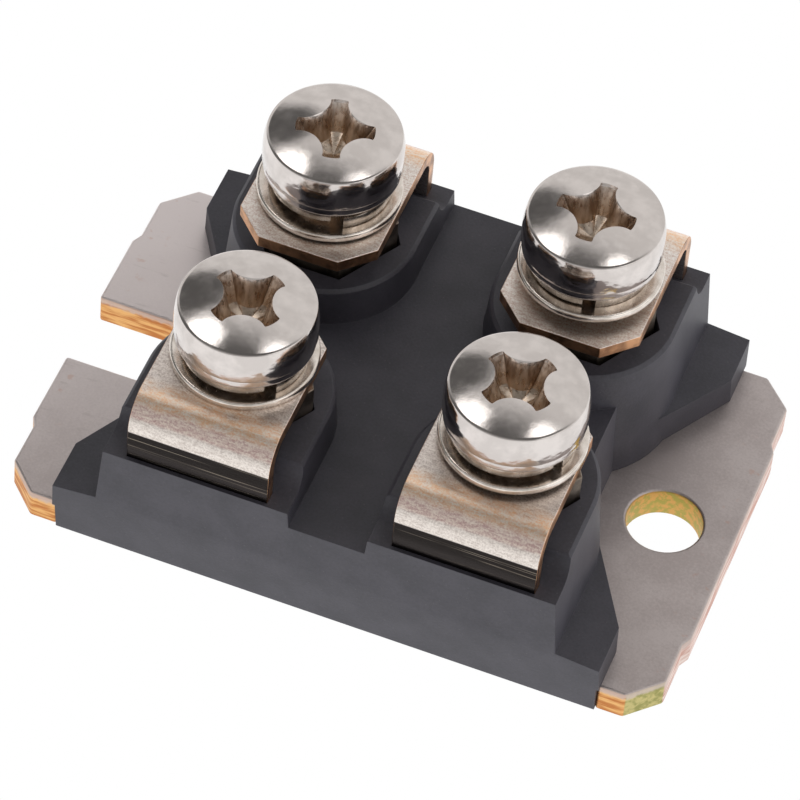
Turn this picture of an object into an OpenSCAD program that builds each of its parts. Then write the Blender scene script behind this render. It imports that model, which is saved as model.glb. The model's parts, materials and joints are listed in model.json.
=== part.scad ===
// Isolated power semiconductor module with four screw terminals.
//
// A flat metal base plate carries a soldered ceramic substrate and one chip.
// A single moulding covers them and rises into four drafted towers.  Each tower
// holds a hexagonal nut in a pocket, and a bent terminal strip lies over the nut.
// A cross-recess screw with a spring washer and a flat washer sits in each terminal.
//
// Origin: middle of the underside of the base plate, +Z up.
// +X is the end with the round mounting hole, -X the end with the open slot.

/* [Base plate] */
// Length over the proud middle of both ends
plate_length = 38.1; // [37:0.1:40]
// Width over the corner tabs
plate_width = 24; // [23:0.1:25]
// Thickness
plate_thickness = 2; // [1.5:0.1:2.5]
// Leg of the corner chamfers
plate_chamfer = 1.7; // [0.5:0.1:2.5]
// Width of the proud middle of each end
plate_nose_width = 14; // [10:0.5:16]
// How far the corner tabs stand back from the proud middle
plate_tab_setback = 0.3; // [0.1:0.1:0.8]
// Straight part of the long edge of each corner tab
plate_tab_edge = 1.55; // [1:0.05:2]
// Distance from each end to the centre of the round hole or the slot
mount_inset = 3.95; // [3.7:0.05:4.2]
// Diameter of the round mounting hole
mount_hole_d = 4.2; // [4:0.1:4.6]
// Width of the open mounting slot
slot_width = 4.7; // [4.2:0.1:5]
// Moulding over each long edge of the plate, at the bottom
plate_cover = 0.9; // [0.6:0.05:1.2]

/* [Housing] */
// Width across the long faces
body_width = 25.1; // [24.8:0.1:26]
// How far each long face leans in at the bottom
body_foot_lean = 0.45; // [0:0.05:0.6]
// Length over the four wings at the bottom
wing_length = 31.5; // [30.5:0.1:32.5]
// Height of the wings at their outer edge
wing_height = 3.9; // [3:0.1:5]
// Rise of the wing top towards the towers
wing_rise = 0.3; // [0:0.05:0.6]
// Width of the gap between the wings at each end
wing_gap = 19.3; // [18.5:0.1:20.5]
// Height of the tower tops
tower_height = 9.5; // [8.8:0.1:10]
// Radius of the tower rounds at the top
tower_radius = 5.15; // [4.8:0.05:5.4]
// Draft angle of the towers
tower_draft = 4.6; // [2:0.1:6]
// Bevel round the tower tops
tower_rim = 0.2; // [0.1:0.05:0.4]
// Height of the shelf that the terminals come out of
shelf_height = 8.15; // [7.5:0.05:8.5]
// Depth of the shelf from the long face
shelf_depth = 1.1; // [0.9:0.05:1.4]
// Height of the channel floor between the towers
channel_height = 7.05; // [6:0.05:7.4]
// Length of the low middle part over the two waists, at the channel floor
waist_length = 22; // [21:0.1:23]
// How far each waist face leans out at the bottom
waist_lean = 0.45; // [0:0.05:0.8]

/* [Terminals] */
// Distance between screw axes along the length
pitch_x = 15; // [14.6:0.1:15.4]
// Distance between screw axes across the width
pitch_y = 12.8; // [12.4:0.1:13.2]
// Width of each strip
strip_width = 8; // [7.6:0.1:8.4]
// Thickness of each strip
strip_thickness = 0.8; // [0.6:0.05:1]
// Height of the upper face of each strip
strip_top = 12; // [11.6:0.1:12.4]
// Distance from the middle of the module to the tips of the back strips
strip_tip_inset = 1.7; // [1.5:0.1:2.2]
// How much further back the tips of the front strips stand
front_tip_setback = 0.8; // [0:0.1:1.2]
// Leg of the chamfers at the tip
strip_chamfer = 1.7; // [0.5:0.1:2]
// Hole for the screw
strip_hole_d = 4.5; // [4.5:0.05:4.7]
// Outer radius of the bend
bend_radius = 1.85; // [1.2:0.05:2.2]
// Moulding left in front of each strip
strip_cover = 0.25; // [0.15:0.05:0.5]
// Width of the buried part
foot_width = 4; // [3:0.1:4.2]

/* [Fasteners] */
// Screw diameter
screw_d = 4; // [3.8:0.1:4]
// Screw length under the head
screw_length = 8; // [7.6:0.1:8.6]
// Screw head diameter
head_d = 7.7; // [7.4:0.05:8]
// Height of the straight side of the head
head_side = 2.3; // [1.8:0.05:2.4]
// Size of the rounded shoulder above the side
head_shoulder = 0.3; // [0.2:0.05:0.5]
// Rise of the dome above the shoulder
head_dome = 0.55; // [0.3:0.05:0.8]
// Radius over the tips of the cross recess
recess_radius = 2.27; // [1.8:0.01:2.4]
// Width of the recess arms at the mouth
recess_arm = 1.15; // [0.8:0.05:1.3]
// Depth of the recess below the top of the dome
recess_depth = 2.1; // [1.4:0.05:2.3]
// Flat washer diameter
washer_d = 8; // [7.6:0.1:8.2]
// Flat washer bore
washer_bore = 4.5; // [4.5:0.05:4.7]
// Flat washer thickness
washer_thickness = 0.5; // [0.4:0.05:0.8]
// Spring washer diameter
spring_d = 6.8; // [6.6:0.1:7.2]
// Spring washer section, across
spring_section = 1.2; // [1:0.05:1.2]
// Spring washer section, height
spring_thickness = 0.8; // [0.7:0.05:1.1]
// Width of the split in the spring washer, in degrees
spring_split = 12; // [8:1:20]
// Nut size across flats
nut_af = 7; // [6.8:0.1:7]
// Nut height
nut_height = 3.2; // [2.8:0.1:3.2]
// Clearance between each flat of a nut and its pocket
nut_clearance = 0.22; // [0.22:0.01:0.25]
// Clearance between the screw and the nut bore, per side
thread_clearance = 0.05; // [0.02:0.01:0.1]

/* [Substrate and chip] */
// Solder layer under the substrate
solder_layer = 0.15; // [0.1:0.05:0.2]
// Substrate length
ceramic_length = 20; // [19:0.1:20.4]
// Moulding beyond each long side of the substrate, at its widest
substrate_cover = 2.05; // [1.85:0.05:2.5]
// Ceramic thickness
ceramic_thickness = 0.63; // [0.38:0.05:0.8]
// Copper thickness on both sides of the ceramic
copper_thickness = 0.3; // [0.2:0.05:0.4]
// Bare margin round the copper
copper_margin = 0.3; // [0.2:0.05:0.5]
// Gap between neighbouring copper tracks
track_gap = 0.6; // [0.4:0.1:0.8]
// Solder under the chip and under the terminal feet
joint_solder = 0.1; // [0.05:0.05:0.15]
// Chip side
chip_side = 9.5; // [8:0.1:10]
// Chip thickness
chip_thickness = 0.25; // [0.15:0.05:0.4]
// Bond wire diameter
wire_d = 0.38; // [0.3:0.02:0.5]
// Height of the bond wire loops above the chip
wire_loop = 1.3; // [0.8:0.1:1.6]

/* [Hidden] */
eps = 0.5; // overshoot of cutting tools
slack = 0.05; // depth by which fused blocks run into each other

c_plate = [0.66, 0.63, 0.62];
c_moulding = [0.22, 0.22, 0.24];
c_terminal = [0.74, 0.72, 0.70];
c_screw = [0.80, 0.79, 0.76];
c_nut = [0.62, 0.60, 0.56];
c_solder = [0.60, 0.61, 0.63];
c_ceramic = [0.92, 0.91, 0.88];
c_copper = [0.80, 0.47, 0.32];
c_chip = [0.38, 0.40, 0.45];
c_wire = [0.86, 0.86, 0.87];

// Corners in the order front left, front right, back right, back left.
corner_sign = [[-1, -1], [1, -1], [1, 1], [-1, 1]];
// Rotation of each cross recess.
recess_turn = [59.5, 56.4, 0, 14.4];
// Direction of the split in each spring washer.
split_turn = [-45, -27, -72, -64];
// How far each spring washer still stands open under its screw.
spring_rise = [0.42, 0.45, 0.1, 0.55];
// How far each flat washer, captive on its untightened screw, hangs above its strip.
washer_lift = [0, 0.35, 0.7, 0.15];
// Sideways play, X and Y, taken up by each screw with its nut, and by each flat washer.
screw_play = [[0.18, -0.05], [0.2, 0.09], [-0.06, 0], [0.06, 0]];
washer_play = [[0.14, 0.13], [0.2, 0.24], [0.04, -0.06], [0, 0]];

// Base plate
plate_tab_x = plate_length / 2 - plate_tab_setback;
nose_slant = 2 * plate_tab_setback;
relief_x = plate_tab_x - plate_chamfer - plate_tab_edge;
relief_y = body_width / 2 - body_foot_lean - plate_cover;
mount_x = plate_length / 2 - mount_inset;

// Housing
tower_slope = tan(tower_draft);
tower_foot_radius = tower_radius + tower_height * tower_slope;
body_y = body_width / 2;
shelf_y = body_y - shelf_depth;
cove_radius = tower_height - shelf_height - tower_rim / 2;
wing_x = wing_length / 2;
wing_lean = 0.18; // how far each outer edge leans in at the top
wing_root = [12.5, 4.2]; // where each wing's slanted edge ends, inside the tower
pocket_floor = strip_top - strip_thickness - nut_height;
pocket_af = nut_af + 2 * nut_clearance;
tip_room = 0.3; // under the tip of a fully tightened screw, and all round its shank
bore_floor = strip_top + washer_thickness + spring_thickness - screw_length - tip_room;
bore_d = screw_d + 2 * tip_room;

// Substrate, from the base plate up
ceramic_width = body_width - 2 * substrate_cover;
lower_copper_z = plate_thickness + solder_layer;
ceramic_z = lower_copper_z + copper_thickness;
track_z = ceramic_z + ceramic_thickness;
track_top = track_z + copper_thickness;
chip_z = track_top + joint_solder;
chip_top = chip_z + chip_thickness;
foot_z = track_top + joint_solder;
copper_x = ceramic_length / 2 - copper_margin;
copper_y = ceramic_width / 2 - copper_margin;
pad_y = 5.4; // half width of the track under the chip
front_split_x = -0.9; // gap between the two front tracks
back_split_x = 4.9; // gap between the two back tracks

// Terminals, in a corner's own frame: screw axis at 0, +Y outwards
function strip_tip_y(i) =
    strip_tip_inset - pitch_y / 2 + (corner_sign[i - 1][1] < 0 ? front_tip_setback : 0);
strip_out_y = body_y - strip_cover - pitch_y / 2;
bend_y = strip_out_y - bend_radius;
bend_z = strip_top - bend_radius;
foot_inset = 0.1; // from the edge of the track
foot_length = 1.7;
foot_rise = 2.1; // height of the slanted part between foot and leg
foot_skew = 0.33; // offset that keeps the slanted part as thick as the strip
foot_out_y = copper_y - pitch_y / 2 - foot_inset;
foot_in_y = foot_out_y - foot_length;
neck_top_z = 6.4;

// Fasteners
head_height = head_side + head_shoulder + head_dome;
head_chamfer = 0.1; // round the underside of the head
dome_steps = 3;
recess_taper = 0.42; // size of the recess floor as a share of its mouth
tip_chamfer = 0.4;
function washer_z(i) = strip_top + washer_lift[i - 1];
function spring_z(i) = washer_z(i) + washer_thickness;
function head_z(i) = spring_z(i) + spring_thickness + spring_rise[i - 1];

// Bond wires: [x, start y on the chip, end y on a track]
wire_sides = 8;
wire_rings = 8;
wire_foot = 0.5; // straight part at both ends
wire_arch = 1.2; // above 1, the arch leaves its feet more gently
emitter_pitch = 1.35;
emitter_count = 6;
function emitter_x(i) = (i - (emitter_count + 1) / 2) * emitter_pitch;
emitter_run = [2.3, 7.4];
gate_run = [-3.1, -3.9, -7.4];
kelvin_run = [3.1, -2.9, -7.4];

// ---------------------------------------------------------------- helpers

// Screw axis of a corner, with some sideways play added.
function axis_at(i, play = [0, 0]) =
    [corner_sign[i - 1][0] * pitch_x / 2 + play[0], corner_sign[i - 1][1] * pitch_y / 2 + play[1], 0];

// Places its children on a screw axis, turned so that +Y points outwards.
module at_corner(i) {
    translate(axis_at(i)) rotate([0, 0, corner_sign[i - 1][1] < 0 ? 180 : 0]) children();
}

// Block given by its two opposite corners.
module block(a, b) {
    translate(a) cube(b - a);
}

// Extrudes a Y-Z outline along X, centred.
module along_x(length) {
    translate([-length / 2, 0, 0]) rotate([90, 0, 90]) linear_extrude(length) children();
}

// Extrudes an X-Z outline along +Y, from y0 to y1.
module along_y(y0, y1) {
    translate([0, y1, 0]) rotate([90, 0, 0]) linear_extrude(y1 - y0) children();
}

// Outline mirrored about the vertical axis.
function both_sides(p) =
    concat(p, [for (k = [len(p) - 1:-1:0]) [-p[k][0], p[k][1]]]);

// ------------------------------------------------------------- base plate

// Outline with chamfered corner tabs and cut-back long edges.
module plate_outline() {
    x1 = plate_length / 2;
    y1 = plate_width / 2;
    ny = plate_nose_width / 2;
    quarter = [[relief_x, relief_y], [relief_x, y1], [plate_tab_x - plate_chamfer, y1],
               [plate_tab_x, y1 - plate_chamfer], [plate_tab_x, ny + nose_slant], [x1, ny]];
    right = concat(quarter, [for (k = [len(quarter) - 1:-1:0]) [quarter[k][0], -quarter[k][1]]]);
    polygon(concat(right, [for (p = right) -p]));
}

module base_plate() color(c_plate) difference() {
    linear_extrude(plate_thickness) plate_outline();
    translate([mount_x, 0, -eps])
        cylinder(d = mount_hole_d, h = plate_thickness + 2 * eps, $fn = 64);
    translate([-mount_x, 0, -eps])
        cylinder(d = slot_width, h = plate_thickness + 2 * eps, $fn = 64);
    block([-plate_length / 2 - eps, -slot_width / 2, -eps],
          [-mount_x, slot_width / 2, plate_thickness + eps]);
}

// ---------------------------------------------------------------- housing

// One stage of a tower: half a cone inwards, a drafted block outwards.
module tower_stage(z0, z1, r0, r1) {
    intersection() {
        translate([0, 0, z0]) cylinder(r1 = r0, r2 = r1, h = z1 - z0, $fn = 96);
        block([-r0 - eps, -r0 - eps, z0 - eps], [r0 + eps, 0, z1 + eps]);
    }
    along_y(0, body_y - pitch_y / 2 + eps)
        polygon(both_sides([[r0, z0], [r1, z1]]));
}

module tower() {
    rim_z = tower_height - tower_rim;
    rim_r = tower_radius + tower_rim * tower_slope;
    tower_stage(0, rim_z, tower_foot_radius, rim_r);
    tower_stage(rim_z, tower_height, rim_r, rim_r - tower_rim);
}

// Low middle part between the towers, with leaning waist faces.
module web() {
    along_y(-body_y - eps, body_y + eps)
        polygon(both_sides([[waist_length / 2 + waist_lean, 0], [waist_length / 2, channel_height]]));
}

// Four wings over the plate corners, with a V-shaped gap at each end.
module wings() {
    gap_y = wing_gap / 2;
    gap_slope = (gap_y - wing_root[1]) / (wing_x - wing_root[0]);
    edge = [[wing_x + eps, body_y + eps], [wing_x + eps, gap_y + eps * gap_slope],
            wing_root, [pitch_x / 2, wing_root[1]]];
    right = concat(edge, [for (k = [len(edge) - 1:-1:0]) [edge[k][0], -edge[k][1]]]);
    intersection() {
        linear_extrude(wing_height + wing_rise + eps)
            polygon(concat(right, [for (p = right) -p]));
        along_y(-body_y - 2 * eps, body_y + 2 * eps)
            polygon(both_sides([[wing_x, 0], [wing_x - wing_lean, wing_height],
                                [pitch_x / 2 + tower_radius, wing_height + wing_rise]]));
    }
}

// Y-Z outline of the whole moulding: leaning foot, upright face, shelf and cove.
module body_section() {
    cove = [for (a = [270:-15:180])
            [shelf_y + cove_radius * cos(a), shelf_height + cove_radius * (1 + sin(a))]];
    top_y = shelf_y - cove_radius;
    polygon(both_sides(concat(
        [[body_y - body_foot_lean, 0], [body_y, wing_height], [body_y, shelf_height]],
        cove, [[top_y - tower_rim / 2, tower_height]])));
}

module housing_outside() {
    intersection() {
        along_x(wing_length + 2 * eps) body_section();
        union() {
            for (i = [1:4]) at_corner(i) tower();
            web();
            wings();
        }
    }
}

module nut_pocket() {
    translate([0, 0, pocket_floor])
        cylinder(r = pocket_af / sqrt(3), h = tower_height - pocket_floor + eps, $fn = 6);
    translate([0, 0, bore_floor])
        cylinder(d = bore_d, h = pocket_floor - bore_floor + eps, $fn = 64);
}

module housing() color(c_moulding) difference() {
    housing_outside();
    // seat for the base plate, and the bare plate ends
    translate([0, 0, -eps]) linear_extrude(plate_thickness + eps) plate_outline();
    for (s = [0, 180]) rotate([0, 0, s])
        block([relief_x, -body_y - eps, -eps], [wing_x + eps, body_y + eps, plate_thickness]);
    for (i = [1:4]) at_corner(i) nut_pocket();
    // everything that is moulded in
    substrate_solder();
    dcb_lower_copper();
    dcb_ceramic();
    collector_track();
    emitter_track();
    gate_track();
    kelvin_track();
    die_solder();
    igbt_die();
    gate_wire();
    kelvin_wire();
    for (i = [1:emitter_count]) emitter_wire(i);
    for (i = [1:4]) {
        terminal(i);
        terminal_solder(i);
    }
}

// -------------------------------------------------------------- terminals

module strip_outline(tip_y) {
    h = strip_width / 2;
    polygon([[-h, bend_y], [-h, tip_y + strip_chamfer], [-h + strip_chamfer, tip_y],
             [h - strip_chamfer, tip_y], [h, tip_y + strip_chamfer], [h, bend_y]]);
}

// Flat strip with its screw hole, quarter bend, leg, and buried foot.
module terminal_shape(tip_y) {
    difference() {
        translate([0, 0, strip_top - strip_thickness])
            linear_extrude(strip_thickness) strip_outline(tip_y);
        translate([0, 0, strip_top - strip_thickness - eps])
            cylinder(d = strip_hole_d, h = strip_thickness + 2 * eps, $fn = 64);
    }
    translate([-strip_width / 2, bend_y, bend_z]) rotate([0, 90, 0]) rotate([0, 0, 90])
        rotate_extrude(angle = 90, $fn = 64)
            translate([bend_radius - strip_thickness, 0]) square([strip_thickness, strip_width]);
    block([-strip_width / 2, strip_out_y - strip_thickness, neck_top_z],
          [strip_width / 2, strip_out_y, bend_z]);
    along_x(foot_width) polygon([
        [foot_in_y, foot_z], [foot_out_y, foot_z],
        [strip_out_y, foot_z + foot_rise], [strip_out_y, neck_top_z + slack],
        [strip_out_y - strip_thickness, neck_top_z + slack],
        [strip_out_y - strip_thickness, foot_z + foot_rise + foot_skew],
        [foot_out_y - foot_skew, foot_z + strip_thickness],
        [foot_in_y, foot_z + strip_thickness]]);
}

module terminal(i) color(c_terminal) at_corner(i) terminal_shape(strip_tip_y(i));

module terminal_solder(i) color(c_solder) at_corner(i)
    block([-foot_width / 2, foot_in_y, track_top], [foot_width / 2, foot_out_y, foot_z]);

// -------------------------------------------------------------- fasteners

module nut(i) color(c_nut)
    translate(axis_at(i, screw_play[i - 1]) + [0, 0, pocket_floor]) difference() {
        cylinder(r = nut_af / sqrt(3), h = nut_height, $fn = 6);
        translate([0, 0, -eps])
            cylinder(d = screw_d + 2 * thread_clearance, h = nut_height + 2 * eps, $fn = 64);
    }

// Half outline of the pan head: small bottom chamfer, side, rounded shoulder, dome.
function head_outline() =
    let (r = head_d / 2, rim = r - head_shoulder,
         ball = (rim * rim + head_dome * head_dome) / (2 * head_dome))
    concat(
        [[0, 0], [r - head_chamfer, 0], [r, head_chamfer]],
        [for (a = [0:30:90]) [rim + head_shoulder * cos(a), head_side + head_shoulder * sin(a)]],
        [for (k = [1:dome_steps]) let (x = rim * (1 - k / dome_steps))
            [x, head_height - ball + sqrt(ball * ball - x * x)]]);

module cross_outline() {
    square([2 * recess_radius, recess_arm], center = true);
    square([recess_arm, 2 * recess_radius], center = true);
}

module screw(i) color(c_screw)
    translate(axis_at(i, screw_play[i - 1]) + [0, 0, head_z(i)]) {
        tip = -screw_length;
        difference() {
            rotate_extrude($fn = 96) polygon(head_outline());
            translate([0, 0, head_height]) rotate([180, 0, recess_turn[i - 1]])
                linear_extrude(recess_depth, scale = recess_taper) cross_outline();
        }
        rotate_extrude($fn = 64) polygon([
            [0, tip], [screw_d / 2 - tip_chamfer, tip], [screw_d / 2, tip + tip_chamfer],
            [screw_d / 2, slack], [0, slack]]);
    }

module flat_washer(i) color(c_screw)
    translate(axis_at(i, washer_play[i - 1]) + [0, 0, washer_z(i)]) difference() {
        cylinder(d = washer_d, h = washer_thickness, $fn = 96);
        translate([0, 0, -eps])
            cylinder(d = washer_bore, h = washer_thickness + 2 * eps, $fn = 64);
    }

// Split ring that climbs over nearly one turn.
module spring_washer(i) color(c_screw)
    translate(axis_at(i, screw_play[i - 1]) + [0, 0, spring_z(i)])
    rotate([0, 0, split_turn[i - 1]]) {
        n = 36;
        r1 = spring_d / 2;
        r0 = r1 - spring_section;
        section = [[r0, 0], [r1, 0], [r1, spring_thickness], [r0, spring_thickness]];
        points = [for (k = [0:n], p = section)
            let (a = spring_split / 2 + k * (360 - spring_split) / n)
                [p[0] * cos(a), p[0] * sin(a), p[1] + spring_rise[i - 1] * k / n]];
        sides = [for (k = [0:n - 1], j = [0:3])
            let (a = 4 * k + j, b = 4 * k + (j + 1) % 4)
                each [[a, b, b + 4], [a, b + 4, a + 4]]];
        polyhedron(points, concat(sides, [[3, 2, 1, 0], [4 * n, 4 * n + 1, 4 * n + 2, 4 * n + 3]]));
    }

// ----------------------------------------------------- substrate and chip

module substrate_solder() color(c_solder)
    block([-copper_x, -copper_y, plate_thickness], [copper_x, copper_y, lower_copper_z]);

module dcb_lower_copper() color(c_copper)
    block([-copper_x, -copper_y, lower_copper_z], [copper_x, copper_y, ceramic_z]);

module dcb_ceramic() color(c_ceramic)
    block([-ceramic_length / 2, -ceramic_width / 2, ceramic_z],
          [ceramic_length / 2, ceramic_width / 2, track_z]);

// Track under the chip, with an arm to the back right terminal.
module collector_track() color(c_copper) translate([0, 0, track_z])
    linear_extrude(copper_thickness) polygon([
        [-copper_x, -pad_y], [copper_x, -pad_y], [copper_x, copper_y],
        [back_split_x + track_gap / 2, copper_y], [back_split_x + track_gap / 2, pad_y],
        [-copper_x, pad_y]]);

module emitter_track() color(c_copper)
    block([-copper_x, pad_y + track_gap, track_z],
          [back_split_x - track_gap / 2, copper_y, track_top]);

module gate_track() color(c_copper)
    block([-copper_x, -copper_y, track_z],
          [front_split_x - track_gap / 2, -pad_y - track_gap, track_top]);

module kelvin_track() color(c_copper)
    block([front_split_x + track_gap / 2, -copper_y, track_z],
          [copper_x, -pad_y - track_gap, track_top]);

module die_solder() color(c_solder)
    block([-chip_side / 2, -chip_side / 2, track_top], [chip_side / 2, chip_side / 2, chip_z]);

module igbt_die() color(c_chip)
    block([-chip_side / 2, -chip_side / 2, chip_z], [chip_side / 2, chip_side / 2, chip_top]);

// Path of a bond wire in its own upright plane: a foot, an arch, a foot.
function wire_path(y0, y1) =
    let (r = wire_d / 2 * cos(180 / wire_sides), d = y1 > y0 ? 1 : -1, foot = wire_foot * d,
         za = chip_top + r, zb = track_top + r)
    concat(
        [[y0, za]],
        [for (k = [0:wire_rings]) let (t = k / wire_rings)
            [y0 + foot + (y1 - y0 - 2 * foot) * t,
             za + (zb - za) * t + wire_loop * pow(sin(180 * t), wire_arch)]],
        [[y1, zb]]);

// Sweeps an eight-sided section, flat side down, along a path in the Y-Z plane.
module wire(x, y0, y1) {
    path = wire_path(y0, y1);
    n = len(path);
    d = y1 > y0 ? 1 : -1;
    points = [for (k = [0:n - 1])
        let (a = path[max(k - 1, 0)], b = path[min(k + 1, n - 1)],
             level = k < 2 || k > n - 3,
             tilt = level ? 0 : atan2(b[1] - a[1], (b[0] - a[0]) * d))
        for (j = [0:wire_sides - 1])
            let (w = (j + 0.5) * 360 / wire_sides, u = wire_d / 2 * cos(w), v = wire_d / 2 * sin(w))
                [x + u, path[k][0] - v * sin(tilt) * d, path[k][1] + v * cos(tilt)]];
    m = wire_sides;
    skin = [for (k = [0:n - 2], j = [0:m - 1])
        let (p = m * k + j, q = m * k + (j + 1) % m)
            each (d > 0 ? [[p, q, q + m], [p, q + m, p + m]] : [[q + m, q, p], [p + m, q + m, p]])];
    first = [for (j = [0:m - 1]) j];
    last = [for (j = [0:m - 1]) m * (n - 1) + j];
    ends = d > 0 ? [[for (j = [m - 1:-1:0]) first[j]], last]
                 : [first, [for (j = [m - 1:-1:0]) last[j]]];
    polyhedron(points, concat(skin, ends));
}

module emitter_wire(i) color(c_wire) wire(emitter_x(i), emitter_run[0], emitter_run[1]);
module gate_wire() color(c_wire) wire(gate_run[0], gate_run[1], gate_run[2]);
module kelvin_wire() color(c_wire) wire(kelvin_run[0], kelvin_run[1], kelvin_run[2]);

// ---------------------------------------------------------------- drawing

base_plate();
substrate_solder();
dcb_lower_copper();
dcb_ceramic();
collector_track();
emitter_track();
gate_track();
kelvin_track();
die_solder();
igbt_die();
gate_wire();
kelvin_wire();
for (i = [1:emitter_count])
    emitter_wire(i);
for (i = [1:4]) {
    terminal(i);
    terminal_solder(i);
    nut(i);
    screw(i);
    spring_washer(i);
    flat_washer(i);
}
housing();
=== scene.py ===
# %% [markdown]
# # A power module with four screw terminals
#
# The real object is an electronic switch for large currents. A metal base
# plate carries a dark moulding with four towers, and a bent metal strip with a
# screw sits on each tower. It could be modelled here from nothing, but the CAD
# frame already holds every size and place. So this script only dresses the
# solids: it rounds edges, cuts the cross recess of the screws, and gives each
# material its grain. Everything is in metres, in the same frame as the CAD.

# %% Load the frame
import json
import math

import bmesh
import bpy
from mathutils import Matrix, Vector


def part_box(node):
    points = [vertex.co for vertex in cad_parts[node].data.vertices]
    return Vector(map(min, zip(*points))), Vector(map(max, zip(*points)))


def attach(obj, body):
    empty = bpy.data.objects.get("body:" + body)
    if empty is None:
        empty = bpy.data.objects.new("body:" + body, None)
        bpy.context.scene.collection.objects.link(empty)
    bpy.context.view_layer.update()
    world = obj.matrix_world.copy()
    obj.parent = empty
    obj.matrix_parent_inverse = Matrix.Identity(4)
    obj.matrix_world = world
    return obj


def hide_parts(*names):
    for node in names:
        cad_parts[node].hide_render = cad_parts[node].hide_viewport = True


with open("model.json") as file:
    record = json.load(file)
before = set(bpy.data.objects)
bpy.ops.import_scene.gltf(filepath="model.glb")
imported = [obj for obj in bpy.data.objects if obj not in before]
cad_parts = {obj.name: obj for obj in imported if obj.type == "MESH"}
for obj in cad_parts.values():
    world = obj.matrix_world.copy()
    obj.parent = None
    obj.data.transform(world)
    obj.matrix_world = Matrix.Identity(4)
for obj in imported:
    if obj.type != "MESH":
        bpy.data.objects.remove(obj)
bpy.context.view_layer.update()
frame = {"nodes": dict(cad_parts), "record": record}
MM = 0.001
CORNERS = (1, 2, 3, 4)  # front left, front right, back right, back left


# %% [markdown]
# ## Shader arithmetic
#
# A finish in Blender is a tree of small nodes with wires between their
# sockets. It could be wired by hand, node by node, but that is hard to read.
# A Signal wraps one socket instead, and plus, minus and times add Math nodes,
# so a finish reads like a formula. Colours and directions have methods of
# their own, because a Math node would turn a colour grey.


# %% Signal
class Signal:
    """One socket of a node tree, with ordinary arithmetic."""

    def __init__(self, tree, socket):
        self.tree = tree
        self.socket = socket

    def node(self, kind, inputs=None, output=0, **settings):
        """Adds any node. Inputs are numbers, colours or other signals."""
        n = self.tree.nodes.new("ShaderNode" + kind)
        for key, value in settings.items():
            setattr(n, key, value)
        for key, value in (inputs or {}).items():
            if isinstance(value, Signal):
                self.tree.links.new(value.socket, n.inputs[key])
            else:
                n.inputs[key].default_value = value
        return Signal(self.tree, n.outputs[output])

    def math(self, operation, *others):
        inputs = {0: self}
        inputs.update({k + 1: v for k, v in enumerate(others)})
        return self.node("Math", inputs, operation=operation)

    def __add__(self, other):
        return self.math("ADD", other)

    def __sub__(self, other):
        return self.math("SUBTRACT", other)

    def __mul__(self, other):
        return self.math("MULTIPLY", other)

    __radd__ = __add__
    __rmul__ = __mul__

    def __rsub__(self, other):
        return (self * -1.0) + other

    def size(self):
        return self.math("ABSOLUTE")

    def either(self, other):
        return self.math("MAXIMUM", other)

    def step(self, low, high):
        """0 below low, 1 above high, smooth between."""
        return self.node("MapRange", {0: self, 1: low, 2: high}, interpolation_type="SMOOTHSTEP")

    def blend(self, a, b):
        """Colour a where this is 0 and colour b where it is 1."""
        inputs = {"Factor": self, 6: a, 7: b}  # 6, 7 and output 2 are a Mix node's colours
        return self.node("Mix", inputs, output=2, data_type="RGBA")

    def axis(self, name):
        return self.node("SeparateXYZ", {0: self}, output="XYZ".index(name))

    def scaled(self, x, y, z):
        return self.node("VectorMath", {0: self, 1: (x, y, z)}, operation="MULTIPLY")

    def dot(self, direction):
        return self.node("VectorMath", {0: self, 1: direction}, output=1, operation="DOT_PRODUCT")

    def away_from(self, point):
        return self.node("VectorMath", {0: self, 1: point}, output=1, operation="DISTANCE")

    def noise(self, grain, detail=3.0, rough=0.55):
        """Cloudy noise whose grains are about `grain` millimetres across."""
        inputs = {"Vector": self, "Scale": 1.0 / grain, "Detail": detail, "Roughness": rough}
        return self.node("TexNoise", inputs)

    def cells(self, grain):
        """Distance to the nearest of many scattered points."""
        return self.node("TexVoronoi", {"Vector": self, "Scale": 1.0 / grain})


print("a Signal has:", ", ".join(key for key in vars(Signal) if not key.startswith("_")))

# %% [markdown]
# ## From a paint function to a material
#
# Colour charts give screen values from 0 to 255, but shaders reckon in light,
# which follows another curve, so `colour` turns one into the other. A finish
# could be an image wrapped round the piece, but an image stretches over cut
# edges and shows its seams. So each finish is a paint function. It is told the
# place in millimetres and the way the surface faces, and it returns the inputs
# of a Principled shader that vary. A grain of 0.1 is then a tenth of a
# millimetre on every piece.


# %% Colours and materials
OBJECT_PLACE = 3  # output of the Texture Coordinate node
FACING = 1  # output of the Geometry node
LOOKS = {}


def colour(r, g, b):
    """A screen colour, 0 to 255, as the linear colour that shaders use."""
    def linear(v):
        v = v / 255.0
        return v / 12.92 if v <= 0.04045 else ((v + 0.055) / 1.055) ** 2.4
    return (linear(r), linear(g), linear(b), 1.0)


def material(name, paint, fixed=None):
    """A Principled material. paint(place, normal) returns the varying inputs."""
    m = bpy.data.materials.new(name)
    m.use_nodes = True
    tree = m.node_tree
    shader = tree.nodes["Principled BSDF"]
    for key, value in (fixed or {}).items():
        shader.inputs[key].default_value = value
    start = Signal(tree, None)
    place = start.node("TexCoord", output=OBJECT_PLACE).scaled(1 / MM, 1 / MM, 1 / MM)
    normal = start.node("NewGeometry", output=FACING)
    for key, value in paint(place, normal).items():
        tree.links.new(value.socket, shader.inputs[key])
    print(name, "has", len(tree.nodes), "nodes")
    return m


def bump(height, strength, depth_mm):
    return height.node("Bump", {"Height": height, "Strength": strength, "Distance": depth_mm * MM})


print("screen grey 128 is light", round(colour(128, 128, 128)[0], 3))

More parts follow.
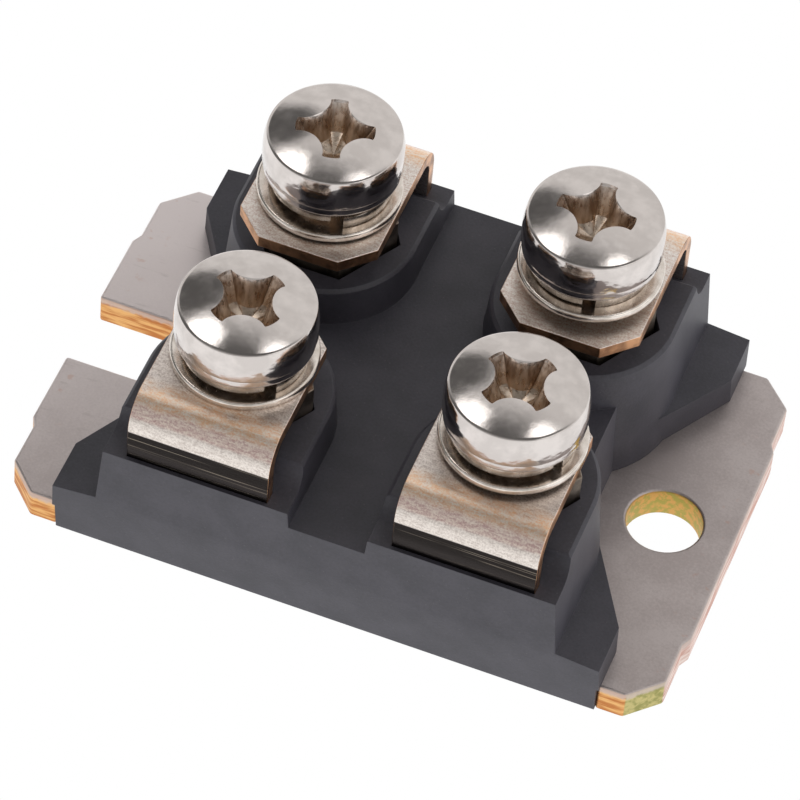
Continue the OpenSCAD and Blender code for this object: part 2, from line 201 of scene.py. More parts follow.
# %% [markdown]
# ## Moulding compound
#
# The moulding is a resin full of fine mineral grains, pressed in a steel tool.
# Up close it is a charcoal skin with soft clouds and a few pale specks. One
# flat colour would do from afar, but the towers would look like paper. So fine
# grain, wide clouds and scattered cells are mixed, and the fine grain also
# drives roughness and bump, so that what is seen and what shines agree.


# %% Moulding compound
def moulding_paint(place, normal):
    grain = place.noise(0.16, 4.0, 0.65)
    cloud = place.noise(2.5, 2.0)
    specks = 1.0 - place.cells(0.45).step(0.05, 0.13)
    tone = (grain * 0.5 + cloud * 0.5).step(0.3, 0.7)
    skin = tone.blend(colour(54, 53, 61), colour(72, 70, 79))
    return {
        "Base Color": (specks * 0.35).blend(skin, colour(98, 95, 98)),
        "Roughness": grain * 0.18 + 0.44,
        "Normal": bump(grain, 0.35, 0.03),
    }


LOOKS["moulding"] = material("moulding_compound", moulding_paint, {"Specular IOR Level": 0.55})

# %% [markdown]
# ## Base plate
#
# The plate is stamped from thick metal and plated. Its top is pale and grows
# paler towards the back left, with faint marks along its length and a little
# rust near the ends. Its cut edges are warmer and layered, and the wall of the
# round hole is olive and amber. Each zone could be a material of its own, but
# then the borders would be hard lines. So one paint picks its colour by place
# and by the way the surface faces.

# %% Top of the base plate
RUST_FROM = (16.5, 18.5)  # distance from the middle along the plate


def plate_top(place, grain):
    """Pale plating with clouds, faint long marks and rust towards the ends."""
    cloud = place.noise(3.0, 3.0)
    marks = place.scaled(0.25, 1.0, 1.0).noise(0.5, 4.0).step(0.60, 0.74)
    face = (grain * 0.45 + cloud * 0.55).step(0.35, 0.65)
    top = face.blend(colour(182, 172, 170), colour(200, 191, 189))
    pale = (place.axis("Y") - place.axis("X")).step(0.0, 32.0)
    top = (pale * 0.9).blend(top, colour(238, 229, 228))
    top = (marks * 0.25).blend(top, colour(160, 150, 146))
    ends = place.axis("X").size().step(*RUST_FROM)
    rust = place.noise(0.6, 3.0).step(0.62, 0.74) * ends
    return (rust * 0.3).blend(top, colour(196, 140, 112))


# %% Cut edges of the base plate
HOLE_CENTRE = (15.1, 0, 0)
HOLE_WALL = (2.4, 2.6)  # from the middle of the hole
ROLLED_EDGE = (1.65, 1.95)  # height at which a cut edge turns into the top


def plate_wall(place, normal):
    """Gold edges, green at the right corners, pink at the right end, olive in the hole."""
    grit = place.noise(0.4, 3.0)
    layers = place.scaled(0.25, 0.25, 2.2).noise(0.6, 3.0)
    gold = layers.step(0.40, 0.60).blend(colour(206, 136, 78), colour(246, 196, 130))
    green = grit.step(0.35, 0.6).blend(colour(166, 163, 100), colour(208, 197, 136))
    pink = layers.step(0.40, 0.62).blend(colour(212, 164, 148), colour(244, 228, 220))
    right = normal.axis("X")
    edge = (right.step(0.4, 0.6) * place.axis("X").step(0, 1)).blend(gold, green)
    edge = right.step(0.8, 0.95).blend(edge, pink)
    rolled = (place.axis("Z") + grit * 0.5).step(*ROLLED_EDGE)
    edge = (rolled * 0.8).blend(edge, colour(214, 198, 190))
    away = place.scaled(1, 1, 0).away_from(HOLE_CENTRE)
    bored = grit.step(0.4, 0.6).blend(colour(184, 172, 92), colour(222, 176, 104))
    return (1.0 - away.step(*HOLE_WALL)).blend(edge, bored)


# %% Base plate
METAL = {"Metallic": 1.0}


def plate_paint(place, normal):
    grain = place.noise(0.14, 3.0, 0.6)
    cut = 1.0 - normal.axis("Z").size().step(0.35, 0.75)
    return {
        "Base Color": cut.blend(plate_top(place, grain), plate_wall(place, normal)),
        "Roughness": grain * 0.12 + 0.42 + cut * 0.05,
        "Normal": bump(grain, 0.35, 0.02),
    }


LOOKS["plate"] = material("plated_base", plate_paint, METAL)

# %% [markdown]
# ## Terminal strips
#
# Each strip is plated sheet metal that lies on its tower, bends over the edge
# and runs down into the moulding. The flat part is pale with fine drawn lines,
# and the bend is warm. The strips at the back are painted lighter and warmer,
# as painted light. The leg below the bend is painted dark with pale lines: the
# dark is painted shade from the slot it runs down into, and the pale lines are
# painted highlights. A plain mirror would take on these tones only in the right
# room. So the zones are painted by height and by distance from the middle, and
# stay right under any light.

# %% Terminal strip
BEND_OUT, BEND_UP = (9.6, 10.6), (10.9, 11.2)  # distance from the middle, and height
BAND_OUT, BAND_UP = (11.2, 11.6), (10.95, 11.15)
LEG_OUT, LEG_UP = (12.0, 12.15), (10.10, 10.2)
# The leg's dark colours are painted shade from the slot it runs down into.
LEG_SHADE_DEEPER = (8.6, 9.4)  # height above which the leg is darker still
WARM_LINE = (11.75, 12.05)  # height and cloud at which the bend turns from pink to orange
BEND_TOP = (12.22, 12.34)  # height and cloud at which the warm glow fades
TIP_OUT = (3.9, 4.3)  # nearer the middle than this is a strip's cut tip


def strip_flat(place, tone):
    """The plated face: grey to white in front; behind, painted lighter and warmer as painted
    light, with scores.
    """
    near = tone.blend(colour(200, 186, 178), colour(252, 243, 236))
    # The back strips get lighter, warmer colours: painted light on the same plating, not another
    # finish.
    far = tone.blend(colour(218, 196, 184), colour(255, 250, 244))
    scored = place.scaled(0.2, 1.2, 1.0).noise(0.3, 4.0, 0.7).step(0.56, 0.68)
    far = (scored * 0.35).blend(far, colour(184, 142, 120))
    return place.axis("Y").step(-1.0, 1.0).blend(near, far)


def strip_paint(place, normal):
    grain = place.noise(0.11, 4.0, 0.75)
    cloud = place.noise(1.3, 3.0)
    drawn = place.scaled(0.30, 1.0, 1.6).noise(0.16, 4.0, 0.7)
    out = place.axis("Y").size()
    high = place.axis("Z")
    bend = out.step(*BEND_OUT) * high.step(*BEND_UP)
    band = out.step(*BAND_OUT) * (1.0 - high.step(*BAND_UP))
    leg = out.step(*LEG_OUT) * (1.0 - high.step(*LEG_UP))
    tone = (grain * 0.6 + drawn * 0.4).step(0.38, 0.60)
    base = strip_flat(place, tone)
    streak = (drawn * 0.5 + grain * 0.5).step(0.36, 0.62)
    level = high + cloud * 0.5
    warm = level.step(*WARM_LINE).blend(colour(206, 166, 164), colour(255, 200, 146))
    warm = streak.blend(warm, colour(255, 240, 226))
    glow = bend * (1.0 - level.step(*BEND_TOP) * 0.75)
    base = (glow * 0.85).blend(base, warm)
    base = (band * 0.85).blend(base, tone.blend(colour(206, 196, 188), colour(244, 236, 228)))
    # Pale lines across the leg are painted highlights.
    lines = place.scaled(0.06, 0.06, 5.0).noise(0.6, 3.0).step(0.58, 0.70)
    # The leg is painted dark: painted shade from its slot, deeper higher up, towards the bend.
    dark = high.step(*LEG_SHADE_DEEPER).blend(colour(52, 47, 46), colour(34, 29, 27))
    dark = lines.blend(dark, colour(128, 118, 106))
    base = leg.blend(base, dark)
    side = normal.axis("X").size().step(0.4, 0.8)
    tip = (1.0 - out.step(*TIP_OUT)) * (1.0 - normal.axis("Z").size().step(0.35, 0.7))
    raw = cloud.step(0.35, 0.65).blend(colour(150, 110, 82), colour(222, 170, 128))
    return {
        "Base Color": side.either(tip).blend(base, raw),
        "Roughness": (grain * 0.20 + 0.24) * (1.0 - leg * 0.45) + lines * leg * 0.1,
        "Normal": bump(grain + drawn * 0.6, 0.6, 0.02),
    }


LOOKS["terminal"] = material("plated_strip", strip_paint, METAL)

# %% [markdown]
# ## Screw nickel
#
# A screw head is bright nickel with a soft ripple on its side, and the walls
# of its cross recess are browner and duller. The recess could be cut first and
# its faces given a second material, but a cut makes new faces that are hard to
# tell apart. So the paint measures how deep a point lies under the dome and
# how far it is from the screw's axis. Each screw needs its own axis, and so
# each has its own material.

# %% Screw nickel
SIDE, SHOULDER, DOME = 2.3, 0.3, 0.55  # heights that make up a head
HEAD = SIDE + SHOULDER + DOME
DOME_FALL = DOME / 3.7 ** 2  # the dome drops by this times the radius squared
RECESS_REACH = (2.5, 2.6)  # no recess beyond this radius
RECESS_FROM = (0.12, 0.2)  # depth under the dome at which its wall starts
RECESS_DEEP = (0.1, 1.6)  # depth over which its wall changes colour


def screw_paint(node):
    """Bright nickel, with a duller and browner finish inside the cross recess."""
    low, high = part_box(node)
    axis = ((low[0] + high[0]) / 2 / MM, (low[1] + high[1]) / 2 / MM, 0)
    top = high[2] / MM

    def paint(place, normal):
        radius = place.scaled(1, 1, 0).away_from(axis)
        depth = (top - place.axis("Z")) - radius * radius * DOME_FALL
        inside = depth.step(*RECESS_FROM) * (1.0 - radius.step(*RECESS_REACH))
        deep = depth.step(*RECESS_DEEP)
        cloud = place.noise(1.2, 3.0)
        fine = place.noise(0.10, 3.0)
        waves = place.scaled(1.0, 1.0, 1.5).noise(1.1, 2.0)
        side = 1.0 - normal.axis("Z").step(0.3, 0.7)
        ribs = place.scaled(1.0, 1.0, 0.2).noise(0.22, 3.0)
        bright = cloud.step(0.35, 0.7).blend(colour(212, 205, 201), colour(228, 221, 217))
        brown = ribs.step(0.35, 0.65).blend(colour(180, 164, 152), colour(240, 230, 222))
        brown = (deep * 0.6).blend(brown, colour(206, 184, 160))
        return {
            "Base Color": inside.blend(bright, brown),
            "Roughness": cloud.step(0.4, 0.75) * 0.05 + 0.12 + inside * (ribs * 0.2 + 0.06),
            "Normal": bump(fine * 0.3 + waves * (side * 7.0 + 2.5) + inside * ribs, 0.2, 0.02),
        }
    return paint


for i in CORNERS:
    LOOKS[f"screw_{i}"] = material(f"bright_nickel_{i}", screw_paint(f"screw_{i}"), METAL)

# %% [markdown]
# ## Washers and nuts
#
# Flat washers are tumbled bright, spring washers are greyer steel, and the
# nuts under the strips are darker still. One steel for all three would save
# two materials, but side by side their tones differ. So each has its own small
# paint: a cloud for the tone and a noise for the bump.


# %% Washers and nuts
def washer_paint(place, normal):
    cloud = place.noise(0.8, 3.0)
    ringed = place.scaled(1.0, 1.0, 6.0).noise(0.5, 3.0)
    return {
        "Base Color": cloud.step(0.35, 0.7).blend(colour(222, 212, 202), colour(244, 236, 228)),
        "Roughness": ringed.step(0.35, 0.7) * 0.12 + 0.16,
        "Normal": bump(ringed, 0.2, 0.03),
    }


def spring_paint(place, normal):
    cloud = place.noise(0.7, 3.0)
    return {
        "Base Color": cloud.step(0.35, 0.7).blend(colour(176, 164, 152), colour(222, 212, 202)),
        "Roughness": cloud * 0.12 + 0.2,
        "Normal": bump(place.noise(0.25, 3.0), 0.2, 0.02),
    }


def nut_paint(place, normal):
    cloud = place.noise(0.9, 3.0)
    return {
        "Base Color": cloud.step(0.3, 0.7).blend(colour(110, 100, 90), colour(158, 146, 134)),
        "Roughness": cloud * 0.2 + 0.28,
        "Normal": bump(place.noise(0.15), 0.2, 0.02),
    }


LOOKS["fastener"] = material("washer_nickel", washer_paint, METAL)
LOOKS["spring"] = material("spring_steel", spring_paint, METAL)
LOOKS["nut"] = material("nut_steel", nut_paint, METAL)

# %% [markdown]
# ## Materials inside the closed moulding
#
# Solder, copper, ceramic, the chip and its wires are sealed in and never show
# from outside. They could stay grey, but whoever opens the model should find
# each in its own material. One paint with two colours, a grain and a range of
# roughness is enough for all of them.


# %% Inner materials
def inner(dark, light, grain, smooth, rough):
    def paint(place, normal):
        tone = place.noise(grain, 3.0)
        return {
            "Base Color": tone.step(0.35, 0.65).blend(colour(*dark), colour(*light)),
            "Roughness": tone * (rough - smooth) + smooth,
        }
    return paint


solder = inner((138, 140, 146), (172, 174, 180), 0.8, 0.35, 0.5)
copper = inner((186, 110, 74), (214, 140, 100), 1.0, 0.25, 0.4)
ceramic = inner((226, 224, 218), (240, 239, 234), 0.5, 0.4, 0.55)
silicon = inner((84, 90, 104), (108, 112, 124), 2.0, 0.1, 0.2)
wire = inner((210, 210, 214), (228, 228, 230), 0.3, 0.25, 0.35)
LOOKS["solder"] = material("dull_solder", solder, METAL)
LOOKS["copper"] = material("bare_copper", copper, METAL)
LOOKS["ceramic"] = material("white_ceramic", ceramic)
LOOKS["silicon"] = material("silicon_chip", silicon, METAL)
LOOKS["wire"] = material("aluminium_wire", wire, METAL)

# %% [markdown]
# ## Finishes for the CAD solids
#
# The record names a material slot for every node. Finishes could be handed out
# by name, one node at a time, but the slots already say which pieces are made
# of the same stuff. So each solid gets the look of its slot. Pieces that are
# dressed below take over from their solid.

# %% Finishes by slot
SLOT_OF = {p["node"]: p["material_slot"] for p in frame["record"]["subparts"]}
for name, part in frame["nodes"].items():
    part.data.materials.clear()
    part.data.materials.append(LOOKS[SLOT_OF[name]])
print("materials:", len(LOOKS), "for", len(frame["nodes"]), "CAD nodes")

# %% [markdown]
# ## Rounded edges
#
# No real edge is perfectly sharp, and each one catches a thin line of light.
# The rounding could be a modifier on each solid, but a CAD mesh has long thin
# triangles that a modifier rounds badly. So each solid that shows is copied,
# its flat faces are joined again, and only its sharp edges are rounded, by a
# tenth of a millimetre or so. The copy then stands for the CAD node.


# %% Dressed copies
def new_piece(name, mesh, look, *nodes):
    """Puts a finished mesh in the scene, in place of its CAD node."""
    mesh.materials.clear()
    mesh.materials.append(LOOKS[look])
    piece = bpy.data.objects.new(name, mesh)
    bpy.context.scene.collection.objects.link(piece)
    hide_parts(*nodes)
    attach(piece, "root")
    print(name, "has", len(mesh.polygons), "faces")
    return piece


def shade(mesh, angle):
    """Smooth over gentle edges, sharp over steep ones."""
    mesh.polygons.foreach_set("use_smooth", [True] * len(mesh.polygons))
    mesh.set_sharp_from_angle(angle=math.radians(angle))
    mesh.update()


def to_mesh(bm, name):
    mesh = bpy.data.meshes.new(name)
    bm.to_mesh(mesh)
    bm.free()
    return mesh


# %% Rounding
SAME_POINT = 1e-6  # metres
FLAT, SHARP, SMOOTH = 1.0, 28, 40  # degrees between two faces


def rounded(node, width, steps=2, where=None):
    """A copy of a CAD node with its sharp edges rounded by `width` millimetres."""
    bm = bmesh.new()
    bm.from_mesh(frame["nodes"][node].data)
    bmesh.ops.remove_doubles(bm, verts=bm.verts, dist=SAME_POINT)
    bmesh.ops.dissolve_limit(bm, angle_limit=math.radians(FLAT), verts=bm.verts, edges=bm.edges)
    sharp = [e for e in bm.edges
             if e.is_manifold and e.calc_face_angle(0.0) > math.radians(SHARP)
             and (where is None or all(where(v.co / MM) for v in e.verts))]
    bmesh.ops.bevel(bm, geom=sharp, offset=width * MM, segments=steps, profile=0.5,
                    affect="EDGES", clamp_overlap=True)
    mesh = to_mesh(bm, node + "_shape")
    shade(mesh, SMOOTH)
    piece = new_piece(node + "_finished", mesh, SLOT_OF[node], node)
    flat = piece.modifiers.new("flat faces", "WEIGHTED_NORMAL")
    flat.keep_sharp = True
    return piece


# %% [markdown]
# ## Moulding, plate and small metal pieces
#
# The moulding is one piece with hidden rooms for the substrate, the legs of
# the strips and the tips of the screws. Rounding those would only add faces
# that nobody sees, so a test keeps to its outside. The thick plate and the
# tumbled washers have the roundest edges, and the strips the sharpest.


# %% Outside of the moulding
# Its hidden rooms reach this far from the middle, in millimetres, and this high.
SUBSTRATE_X, SUBSTRATE_Y, SUBSTRATE_TOP = 10.3, 11.3, 6.9
LEG_X, LEG_Y, LEG_TOP = (3.3, 11.7), (11.3, 12.4), 8.1
BORE_CENTRE, BORE_RADIUS, BORE_TOP = (7.5, 6.4), 4.6, 7.95


def outer_skin(p):
    """True on the moulding's outside, where its edges show."""
    x, y = abs(p.x), abs(p.y)
    substrate = x < SUBSTRATE_X and y < SUBSTRATE_Y and p.z < SUBSTRATE_TOP
    leg = LEG_X[0] < x < LEG_X[1] and LEG_Y[0] < y < LEG_Y[1] and p.z < LEG_TOP
    bore = math.hypot(x - BORE_CENTRE[0], y - BORE_CENTRE[1]) < BORE_RADIUS and p.z < BORE_TOP
    return not (substrate or leg or bore)


# %% Pieces with rounded edges
rounded("housing", 0.07, where=outer_skin)
rounded("base_plate", 0.18, steps=3)
for i in CORNERS:
    rounded(f"terminal_{i}", 0.06)
    rounded(f"nut_{i}", 0.08)
    rounded(f"flat_washer_{i}", 0.16, steps=4)

# %% [markdown]
# ## Screw bodies
#
# A screw is pressed and rolled, so it is round everywhere but in its recess.
# Its head has a lip, a fine step, a side that leans in a little, a crease and a
# dome. It could be a cylinder with bevels, but the step and the crease need
# their own heights. So the outline is written as a list of points and turned
# about the axis, as on a lathe.


# %% Turning
ON_AXIS = 1e-6


def turned(profile, around):
    """Revolves (radius, height) points about Z. The first and last lie on the axis."""
    bm = bmesh.new()
    rings = []
    for r, z in profile:
        if r < ON_AXIS:
            rings.append([bm.verts.new((0, 0, z * MM))])
        else:
            rings.append([bm.verts.new((r * MM * math.cos(a), r * MM * math.sin(a), z * MM))
                          for a in (math.tau * k / around for k in range(around))])
    for low, high in zip(rings, rings[1:]):
        for k in range(around):
            n = (k + 1) % around
            corner = [low[k % len(low)], low[n % len(low)],
                      high[n % len(high)], high[k % len(high)]]
            bm.faces.new(list(dict.fromkeys(corner)))
    bmesh.ops.recalc_face_normals(bm, faces=bm.faces)
    return bm


# %% Outline of a screw
SHANK, TIP = 2.0, 0.4  # radius, and chamfer at the lower end
LIP_BACK, LIP_CORNER = 0.07, 0.22  # the lip stays back from the side, with a round corner
FINE_STEP = ((LIP_BACK, 0.56), (0.02, 0.62), (0.0, 0.68))  # back from the side, and height
LEAN_FROM = 1.5  # height at which the side starts to lean in
RIM_OUT = 0.12  # how far the dome's rim stands outside that of the CAD solid
CREASE_OUT, CREASE_DROP = 0.04, 0.07  # the side ends this far out from the rim and below it
CREASE_CUT = 0.015  # a small slanted face leads from the crease to the dome
LEAN_STEPS, DOME_STEPS = 8, 24


def screw_profile(length, radius):
    """Shank, a lip under a fine step, a side that leans in upwards, a crease and the dome."""
    rim = radius - SHOULDER + RIM_OUT
    crease = HEAD - DOME
    ball = (rim * rim + DOME * DOME) / (2 * DOME)
    lip = radius - LIP_BACK
    points = [(0, -length), (SHANK - TIP, -length), (SHANK, TIP - length)]
    points += [(SHANK, 0.0), (lip - LIP_CORNER, 0.0)]
    points += [(lip - LIP_CORNER * (1 - math.sin(a)), LIP_CORNER * (1 - math.cos(a)))
               for a in (math.radians(v) for v in (22, 45, 68, 90))]
    points += [(radius - back, height) for back, height in FINE_STEP]
    lean, rise = radius - rim - CREASE_OUT, crease - CREASE_DROP - LEAN_FROM
    points += [(radius - lean * k * k / LEAN_STEPS ** 2, LEAN_FROM + rise * k / LEAN_STEPS)
               for k in range(LEAN_STEPS + 1)]
    points += [(rim + CREASE_CUT, crease - CREASE_CUT)]
    points += [(x, HEAD - ball + math.sqrt(ball * ball - x * x))
               for x in (rim * (1 - k / DOME_STEPS) for k in range(DOME_STEPS))]
    return points + [(0, HEAD)]


print("points in a screw's outline:", len(screw_profile(5.0, 3.85)))

# %% [markdown]
# ## Cross recess
#
# The recess is punched by a four-armed tool. Its arms are blunt, the corners
# between them are hollow, it narrows with depth, and its mouth flares a
# little. Two crossed wedges would come close but would have square corners. So
# the cutter is a loft: rings of the same four-armed outline, one above the
# other, each a little smaller than the last.

# %% Outline of the recess
ARM_END = 0.1  # how far the blunt end of an arm bulges out


def recess_outline(tip, notch, half, turn):
    """Four blunt arms joined by hollow arcs, as (x, y) points in millimetres."""
    reach = tip - ARM_END
    # An arc about (t, t) joins two arms and passes the axis at the distance `notch`.
    t = (reach ** 2 + half ** 2 - notch ** 2) / (2 * (reach + half) - 2 * math.sqrt(2) * notch)
    radius = math.hypot(reach - t, half - t)
    first = math.atan2(half - t, reach - t)
    last = math.atan2(reach - t, half - t)
    if last > 0:
        last -= math.tau
    if first > 0:
        first -= math.tau
    arm = [(reach + ARM_END * math.cos(a), half * math.sin(a))
           for a in (math.radians(v) for v in (-60, -30, 0, 30, 60))]
    arc = [(t + radius * math.cos(a), t + radius * math.sin(a))
           for a in (first + (last - first) * k / 12 for k in range(13))]
    points = []
    for quarter in range(4):
        a = math.radians(turn + 90 * quarter)
        points += [(x * math.cos(a) - y * math.sin(a), x * math.sin(a) + y * math.cos(a))
                   for x, y in arm + arc]
    return points


# %% Cutter for the recess
RINGS = ((0.40, 0.30), (0.03, 0.13), (-0.04, 0.08), (-0.15, 0.0),
         (-0.6, 0.0), (-1.2, 0.0), (-1.9, 0.0))  # height over the dome's top, and flare
DEEPEST = 2.25
ARM, NOTCH, HALF = (2.25, 0.46, 1.0), (1.27, 0.24, 0.7), (0.50, 0.09, 0.5)


def narrowed(measure, depth, flare):
    """A measure is its size at the top, its loss per millimetre and its share of the flare."""
    size, loss, share = measure
    return size - loss * depth + flare * share


def recess_cutter(top, turn):
    """Rings from above the dome down to the bottom of the recess."""
    bm = bmesh.new()
    loops = []
    for z, flare in RINGS:
        sizes = [narrowed(measure, max(0.0, -z), flare) for measure in (ARM, NOTCH, HALF)]
        loops.append([bm.verts.new((x * MM, y * MM, (top + z) * MM))
                      for x, y in recess_outline(*sizes, turn)])
    n = len(loops[0])
    for upper, lower in zip(loops, loops[1:]):
        for k in range(n):
            bm.faces.new((upper[k], upper[(k + 1) % n], lower[(k + 1) % n], lower[k]))
    bm.faces.new(loops[0])
    tip = bm.verts.new((0, 0, (top - DEEPEST) * MM))
    for k in range(n):
        bm.faces.new((loops[-1][k], loops[-1][(k + 1) % n], tip))
    bmesh.ops.recalc_face_normals(bm, faces=bm.faces)
    return bm


print("points in a recess outline:", len(recess_outline(ARM[0], NOTCH[0], HALF[0], 0.0)))

# %% [markdown]
# ## Four screws
#
# Each screw was driven by hand, so each recess is turned its own way and each
# head has its own height. The height and place come from the CAD solid, which
# the dressed screw then replaces. The recess could be modelled face by face,
# but a boolean cut gives its curved border with the dome exactly.


# %% Cutting
def as_object(bm, name):
    obj = bpy.data.objects.new(name, to_mesh(bm, name))
    bpy.context.scene.collection.objects.link(obj)
    return obj


def cut_away(body, tool):
    """The mesh of body minus tool; both helper objects are removed."""
    cut = body.modifiers.new("cut", "BOOLEAN")
    cut.operation = "DIFFERENCE"
    cut.solver = "EXACT"
    cut.object = tool
    done = body.evaluated_get(bpy.context.evaluated_depsgraph_get())
    mesh = bpy.data.meshes.new_from_object(done)
    for obj in (body, tool):
        bpy.data.objects.remove(obj)
    return mesh


# %% Screws
RECESS_TURN = {1: 59.5, 2: 56.4, 3: 0.0, 4: 14.4}  # degrees
AROUND = 120  # faces round a screw


def screw(i):
    low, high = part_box(f"screw_{i}")
    centre = (Vector(low) + Vector(high)) / 2
    radius = (high[0] - low[0]) / 2 / MM
    length = (high[2] - low[2]) / MM - HEAD
    body = as_object(turned(screw_profile(length, radius), AROUND), "turned_body")
    tool = as_object(recess_cutter(HEAD, RECESS_TURN[i]), "recess_tool")
    mesh = cut_away(body, tool)
    seat = high[2] - HEAD * MM
    mesh.transform(Matrix.Translation((centre.x, centre.y, seat)))
    shade(mesh, angle=38)
    return new_piece(f"screw_{i}_finished", mesh, f"screw_{i}", f"screw_{i}")


for i in CORNERS:
    screw(i)

# %% [markdown]
# ## Spring washers
#
# A spring washer is a split ring of flat wire whose ends are sprung apart,
# so it climbs once round the screw. It could be a flat ring with a slot, but
# then both ends would lie level and the spring would be gone. So one section
# with soft corners is carried round the axis and raised a little at each step.
# What is left of the turn is the split.

# %% Spring washers
SPLIT_TURN = {1: -45, 2: -27, 3: -72, 4: -64}  # degrees
RISE = {1: 0.42, 2: 0.45, 3: 0.1, 4: 0.55}  # how far the ends stand apart
BORE, RING = 2.2, 3.4  # inner and outer radius
SOFT, EDGE = 0.12, 0.03  # where a corner starts, and where an outer one passes


def spring_section(thick):
    """The cut through the wire, as (radius, height) points in millimetres."""
    return [(BORE, SOFT), (BORE + SOFT, 0), (RING - SOFT, 0), (RING - EDGE, EDGE),
            (RING, SOFT), (RING, thick - SOFT), (RING - EDGE, thick - EDGE),
            (RING - SOFT, thick), (BORE + SOFT, thick), (BORE, thick - SOFT)]


def spring_washer(i, steps=96, gap=12.0):
    """A split ring with soft corners that climbs from one end to the other."""
    low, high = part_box(f"spring_washer_{i}")
    axis = (Vector(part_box(f"screw_{i}")[0]) + Vector(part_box(f"screw_{i}")[1])) / 2
    section = spring_section((high[2] - low[2]) / MM - RISE[i])
    bm = bmesh.new()
    loops = []
    for k in range(steps + 1):
        a = math.radians(SPLIT_TURN[i] + gap / 2 + (360 - gap) * k / steps)
        lift = RISE[i] * k / steps
        loops.append([bm.verts.new((axis.x + r * MM * math.cos(a), axis.y + r * MM * math.sin(a),
                                    low[2] + (z + lift) * MM)) for r, z in section])
    n = len(section)
    for one, two in zip(loops, loops[1:]):
        for k in range(n):
            bm.faces.new((one[k], one[(k + 1) % n], two[(k + 1) % n], two[k]))
    bm.faces.new(loops[0])
    bm.faces.new(loops[-1])
    bmesh.ops.recalc_face_normals(bm, faces=bm.faces)
    mesh = to_mesh(bm, f"spring_{i}_shape")
    shade(mesh, angle=50)
    return new_piece(f"spring_washer_{i}_finished", mesh, "spring", f"spring_washer_{i}")


for i in CORNERS:
    spring_washer(i)

# %% [markdown]
# ## White floor
#
# The module lies on plain white paper. A lit white surface would need a strong
# lamp to look white, and that lamp would bleach the metal. So the paper shines
# by itself at a strength of 1, which is white. Matt surfaces get a little more
# light from it, so that the sides of the moulding don't sink into black.

# %% Floor
FLOOR_HALF = 2  # metres
FLOOR_GAP = 0.00005  # metres, so that paper and plate never share a plane
DIFFUSE_RAY = 2  # output of the Light Path node
MATT_EXTRA = 0.45
corners = [(x * FLOOR_HALF, y * FLOOR_HALF, 0) for x, y in ((-1, -1), (1, -1), (1, 1), (-1, 1))]
floor_mesh = bpy.data.meshes.new("floor")
floor_mesh.from_pydata(corners, [], [(0, 1, 2, 3)])
floor = bpy.data.objects.new("floor", floor_mesh)
bpy.context.scene.collection.objects.link(floor)
floor.location.z = -FLOOR_GAP
paper = bpy.data.materials.new("white_paper")
paper.use_nodes = True
tree = paper.node_tree
tree.nodes.remove(tree.nodes["Principled BSDF"])
matt = Signal(tree, None).node("LightPath", output=DIFFUSE_RAY)
glow = matt.node("Emission", {"Color": (1, 1, 1, 1), "Strength": matt * MATT_EXTRA + 1.0})
tree.links.new(glow.socket, tree.nodes["Material Output"].inputs["Surface"])
floor_mesh.materials.append(paper)
print("floor at", FLOOR_GAP / MM, "mm under the part")

# %% [markdown]
# ## Soft sky
#
# Bright metal shows what stands around it, so the room matters as much as the
# metal. Area lamps would work, but their hard borders show in the screw heads.
# So the sky itself glows: dim all round, brighter in front and behind, with a
# few soft patches and one darker spot. The camera sees plain white instead.

# %% Patches of the sky
FRONT, BEHIND, DIM = 0.35, 0.64, 0.13  # strength of the light from each side, and all round
FRONT_RISE, BEHIND_RISE = (0.15, 0.55), (0.14, 0.5)  # where it starts, and where it is full
PATCHES = (  # direction, half angle in degrees, softness in degrees, brightness
    ((-0.41, 0.19, 0.89), 5, 6, 2.6),
    ((0.19, 0.22, 0.955), 4, 5, 2.0),
    ((0.85, -0.10, 0.50), 18, 16, 1.0),
)
DARKS = (((-0.53, 0.56, 0.64), 9, 8, 0.85),)


def patch_mask(way, direction, half, soft):
    """1 within the half angle of a direction, fading to 0 over the softness."""
    d = Vector(direction).normalized()
    far, near = (math.cos(math.radians(angle)) for angle in (half + soft, half))
    return way.dot(tuple(d)).step(far, near)


def sky_level(way):
    """Strength of the sky in the direction `way`."""
    front = (way.axis("Y") * -1.0).step(*FRONT_RISE)
    behind = way.axis("Y").step(*BEHIND_RISE)
    level = front * FRONT + behind * BEHIND + DIM
    for direction, half, soft, strength in PATCHES:
        level = level + patch_mask(way, direction, half, soft) * strength
    for direction, half, soft, strength in DARKS:
        level = level * (1.0 - patch_mask(way, direction, half, soft) * strength)
    return level


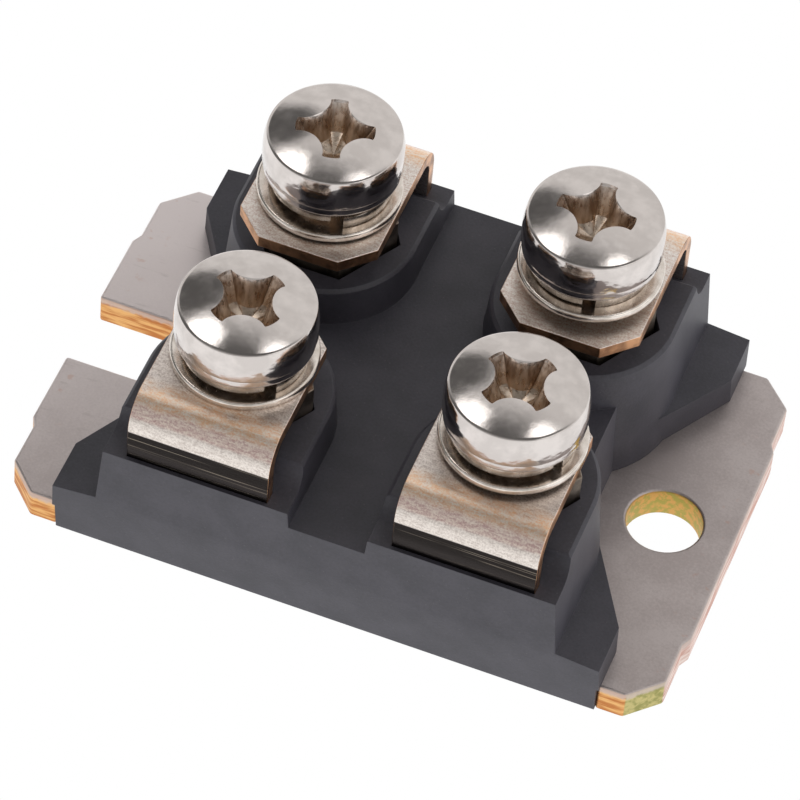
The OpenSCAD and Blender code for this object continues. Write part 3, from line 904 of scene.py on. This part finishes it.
# %% Sky
CAMERA_RAY = 0  # output of the Light Path node
VIEW = 0  # output of the Texture Coordinate node, a direction when used in a world
WARM_WHITE = (1.0, 0.985, 0.97, 1.0)
world = bpy.data.worlds.new("studio")
world.use_nodes = True
bpy.context.scene.world = world
tree = world.node_tree
way = Signal(tree, None).node("TexCoord", output=VIEW)
eye = way.node("LightPath", output=CAMERA_RAY)
light = sky_level(way) * (1.0 - eye) + eye
tree.links.new(light.socket, tree.nodes["Background"].inputs["Strength"])
tree.nodes["Background"].inputs["Color"].default_value = WARM_WHITE
print("sky:", len(PATCHES), "bright patches,", len(DARKS), "dark,", len(tree.nodes), "nodes")

# %% [markdown]
# ## Camera
#
# The module is looked at from in front and well above, with a long lens from
# far away, so that its parallel edges stay nearly parallel. The camera could be
# turned by three angles, but the order of such turns is easy to mistake. So its
# own right, up and back directions are worked out and written as a matrix.

# %% Camera
AZIMUTH, ELEVATION, ROLL = 16.484, 49.824, 5.724  # degrees
DISTANCE, AIM = 292.453, (-0.131, -1.091, 6.0)  # millimetres
LENS, SENSOR = 243.74, 36.0


def place_camera():
    az, el, roll = (math.radians(v) for v in (AZIMUTH, ELEVATION, ROLL))
    back = Vector((math.sin(az) * math.cos(el), -math.cos(az) * math.cos(el), math.sin(el)))
    right = Vector((math.cos(az), math.sin(az), 0))
    up = back.cross(right)
    right, up = (right * math.cos(roll) + up * math.sin(roll),
                 up * math.cos(roll) - right * math.sin(roll))
    data = bpy.data.cameras.new("camera")
    data.lens = LENS
    data.sensor_width = SENSOR
    data.clip_start = 0.01
    data.clip_end = 10.0
    camera = bpy.data.objects.new("camera", data)
    bpy.context.scene.collection.objects.link(camera)
    turn = Matrix((right, up, back)).transposed()
    camera.matrix_world = Matrix.Translation((Vector(AIM) + back * DISTANCE) * MM) @ turn.to_4x4()
    bpy.context.scene.camera = camera


place_camera()
bpy.context.scene.view_settings.view_transform = "Standard"
print("camera stands at", [round(v, 3) for v in bpy.context.scene.camera.matrix_world.translation])

# %% [markdown]
# ## The end
#
# Dressing must not make the module larger.
